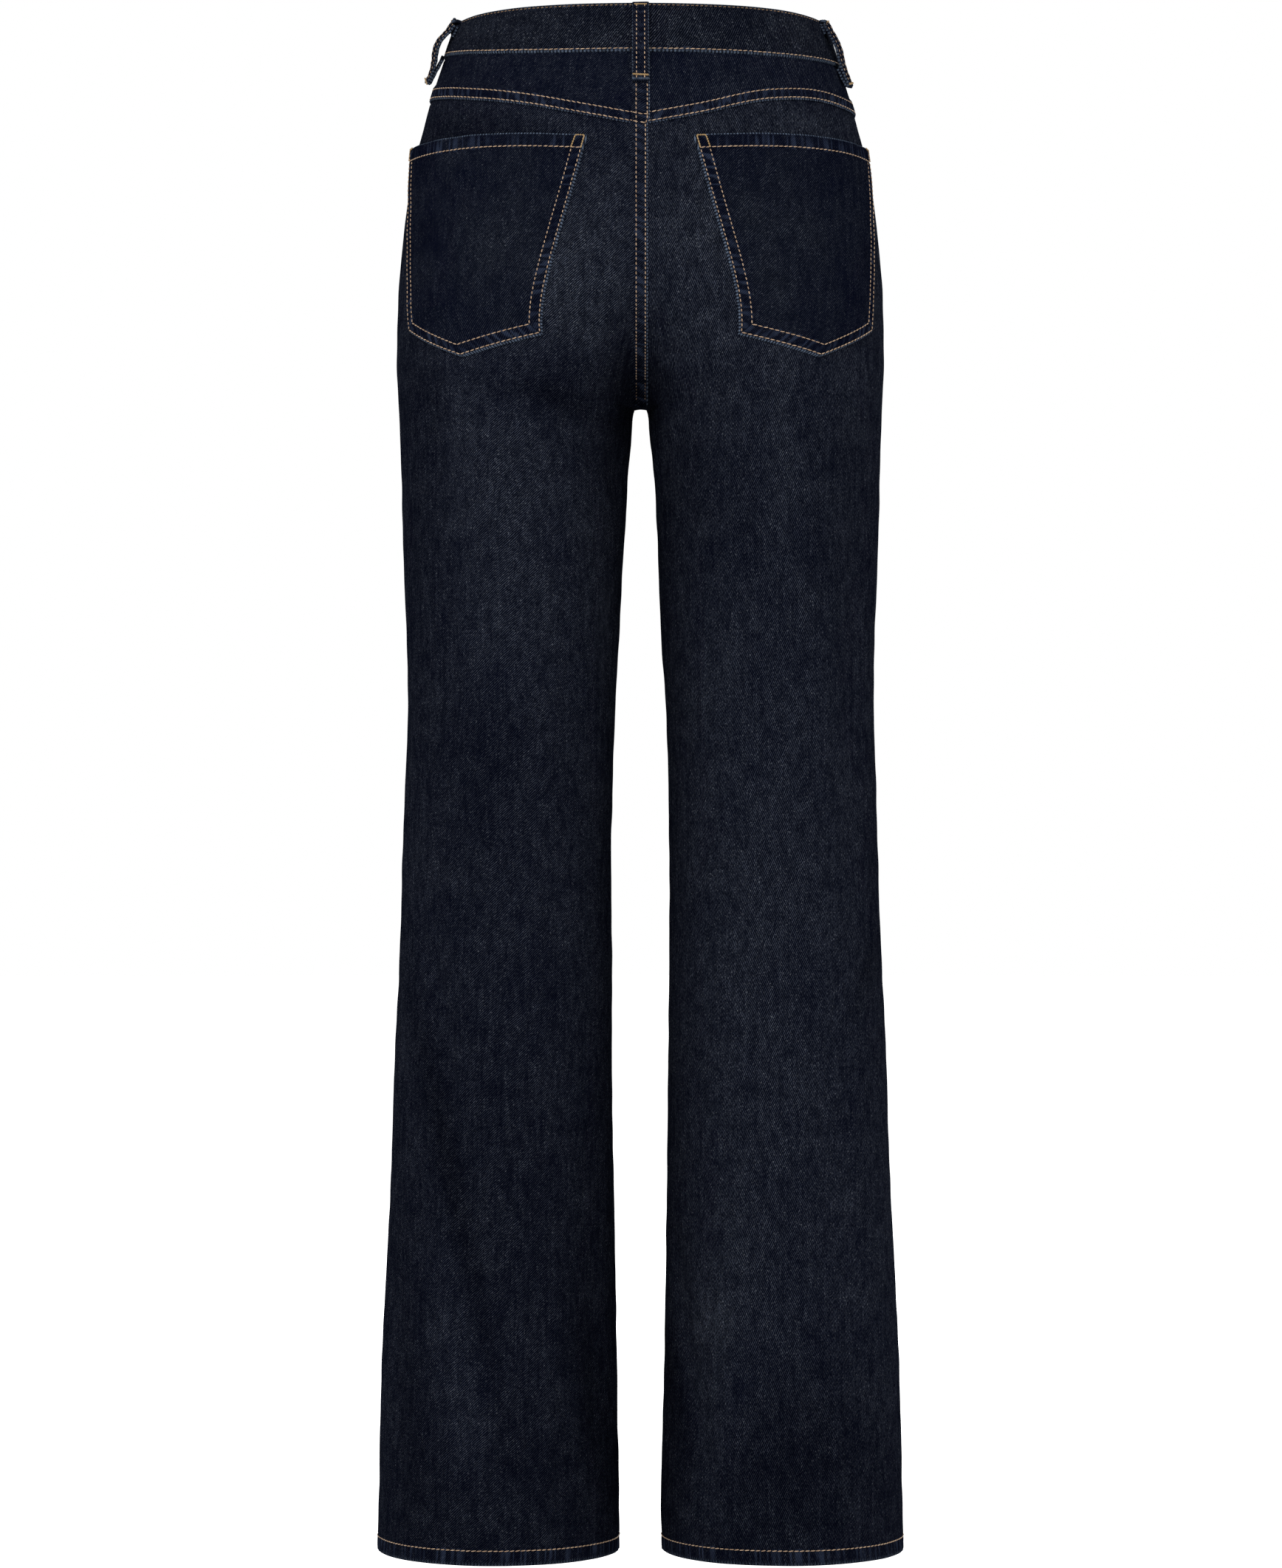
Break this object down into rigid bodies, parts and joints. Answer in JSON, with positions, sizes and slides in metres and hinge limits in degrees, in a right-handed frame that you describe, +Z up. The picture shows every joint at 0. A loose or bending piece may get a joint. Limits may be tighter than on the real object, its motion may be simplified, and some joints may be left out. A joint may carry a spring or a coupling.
{
  "type": "wide leg jeans",
  "caption": "Hollow dark indigo wide leg jeans held open at the waist, with a back yoke, patch back pockets, belt loops, scooped front pockets and a button fly.",
  "frame": {"origin": "middle of the waistband ring, at half the height of the band", "axes": "+Z up, +Y the way the wearer faces, +X to the wearer's right"},
  "size_m": [0.3702, 0.2293, 1.0795],
  "materials": {
    "denim": "dark rinsed indigo twill with pale flecks",
    "pocket_denim": "the same twill, a little darker and smoother",
    "zip_tape": "woven navy tape",
    "topstitch_thread": "tan polyester thread with a slight sheen",
    "brass": "aged brass"
  },
  "bodies": {
    "root": {"back_panel_left": "denim", "back_panel_right": "denim", "back_pocket_left": "pocket_denim", "back_pocket_right": "pocket_denim", "back_yoke_left": "denim", "back_yoke_right": "denim", "belt_loop_back": "denim", "belt_loop_front_left": "denim", "belt_loop_front_right": "denim", "belt_loop_side_left": "denim", "belt_loop_side_right": "denim", "fly_shield": "denim", "front_panel_left": "denim", "front_panel_right": "denim", "front_pocket_facing_left": "denim", "front_pocket_facing_right": "denim", "waist_button": "brass", "waistband": "denim", "zip_slider": "brass", "zip_tape": "zip_tape"}
  },
  "joints": []
}
